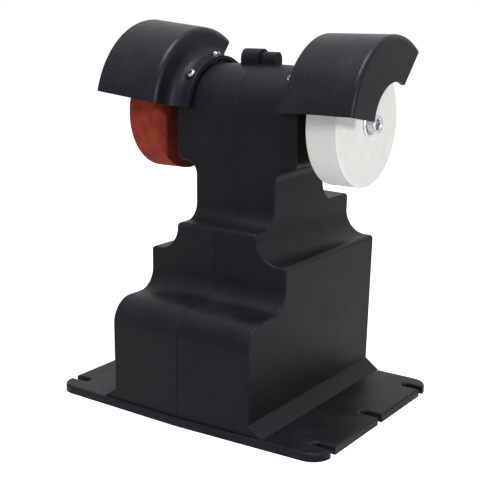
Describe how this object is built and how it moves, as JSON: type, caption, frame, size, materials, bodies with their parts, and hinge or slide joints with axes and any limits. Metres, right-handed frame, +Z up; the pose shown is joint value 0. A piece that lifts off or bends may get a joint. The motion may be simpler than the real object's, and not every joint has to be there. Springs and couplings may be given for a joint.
{
  "type": "cordless bench grinder",
  "caption": "Small battery bench grinder: a stepped hollow tower on a slotted base, with a grinding wheel under a hood at each side of its motor.",
  "frame": {"origin": "on the bench plane, in the seam of the two housing halves, straight below the wheel axis", "axes": "+Z up, +X along the wheel axis to the white wheel, -Y to the front that the user faces, +Y to the battery at the back"},
  "size_m": [0.194, 0.1527, 0.232],
  "materials": {
    "housing_plastic": "injection-moulded, fine grain, satin",
    "guard_plastic": "injection-moulded, smooth satin",
    "screw_steel": "bright steel screw",
    "plated_screw": "bright zinc plating",
    "can_steel": "drawn steel, zinc plated",
    "ferrite": "sintered ferrite",
    "cast_aluminium": "die-cast",
    "sheet_brass": "stamped sheet",
    "carbon": "pressed carbon",
    "bearing_steel": "ground",
    "ball_steel": "polished",
    "shaft_steel": "ground bar",
    "lamination_steel": "stacked sheet",
    "winding_copper": "enamelled wire",
    "commutator_copper": "turned copper",
    "collar_steel": "turned",
    "white_abrasive": "bonded abrasive, porous",
    "red_abrasive": "bonded abrasive, porous",
    "plated_nut": "zinc plating, cold formed",
    "sleeve_plastic": "injection-moulded",
    "terminal_plastic": "injection-moulded",
    "blade_brass": "stamped, tinned",
    "battery_plastic": "injection-moulded",
    "cell_wrap": "shrink-wrapped",
    "board_green": "solder mask",
    "button_plastic": "injection-moulded",
    "switch_plastic": "moulded nylon",
    "rocker_plastic": "moulded, polished",
    "black_aluminium": "extruded, black anodised",
    "capacitor_wrap": "shrink sleeve"
  },
  "bodies": {
    "housing": {"right_shell": "housing_plastic", "left_shell": "housing_plastic", "shell_screws": "screw_steel", "right_guard": "guard_plastic", "left_guard": "guard_plastic", "right_guard_screws": "plated_screw", "left_guard_screws": "plated_screw", "motor_can": "can_steel", "motor_magnets": "ferrite", "right_end_bell": "cast_aluminium", "left_end_bell": "cast_aluminium", "brush_holders": "sheet_brass", "carbon_brushes": "carbon", "bearing_outer_rings": "bearing_steel", "battery_sleeve": "sleeve_plastic", "terminal_block": "terminal_plastic", "contact_blades": "blade_brass", "switch_body": "switch_plastic", "switch_tabs": "blade_brass", "controller_board": "board_green", "heat_sink": "black_aluminium", "capacitor": "capacitor_wrap"},
    "spindle": {"spindle_shaft": "shaft_steel", "armature_core": "lamination_steel", "armature_windings": "winding_copper", "commutator": "commutator_copper", "bearing_inner_rings": "bearing_steel", "bearing_balls": "ball_steel", "right_wheel_collar": "collar_steel", "left_wheel_collar": "collar_steel", "white_wheel": "white_abrasive", "red_wheel": "red_abrasive", "right_wheel_nut": "plated_nut", "left_wheel_nut": "plated_nut"},
    "battery": {"battery_case": "battery_plastic", "battery_lid": "battery_plastic", "battery_cells": "cell_wrap", "battery_board": "board_green", "battery_clips": "blade_brass"},
    "release_button": {"release_button": "button_plastic"},
    "rocker": {"switch_rocker": "rocker_plastic"}
  },
  "joints": [
    {"name": "spindle_spin", "type": "hinge", "parent": "housing", "child": "spindle", "pos_m": [0, 0, 0.1747], "axis": [1, 0, 0], "continuous": true},
    {"name": "battery_slide", "type": "slide", "parent": "housing", "child": "battery", "axis": [0, 1, 0], "range_m": [0, 0.085]},
    {"name": "button_press", "type": "slide", "parent": "battery", "child": "release_button", "axis": [0, 0, -1], "range_m": [0, 0.002], "stiffness_N_per_m": 400, "springref_m": -0.004},
    {"name": "rocker_tilt", "type": "hinge", "parent": "housing", "child": "rocker", "pos_m": [0, 0.05405, 0.07816], "axis": [1, 0, 0], "range_deg": [0, 18]}
  ]
}
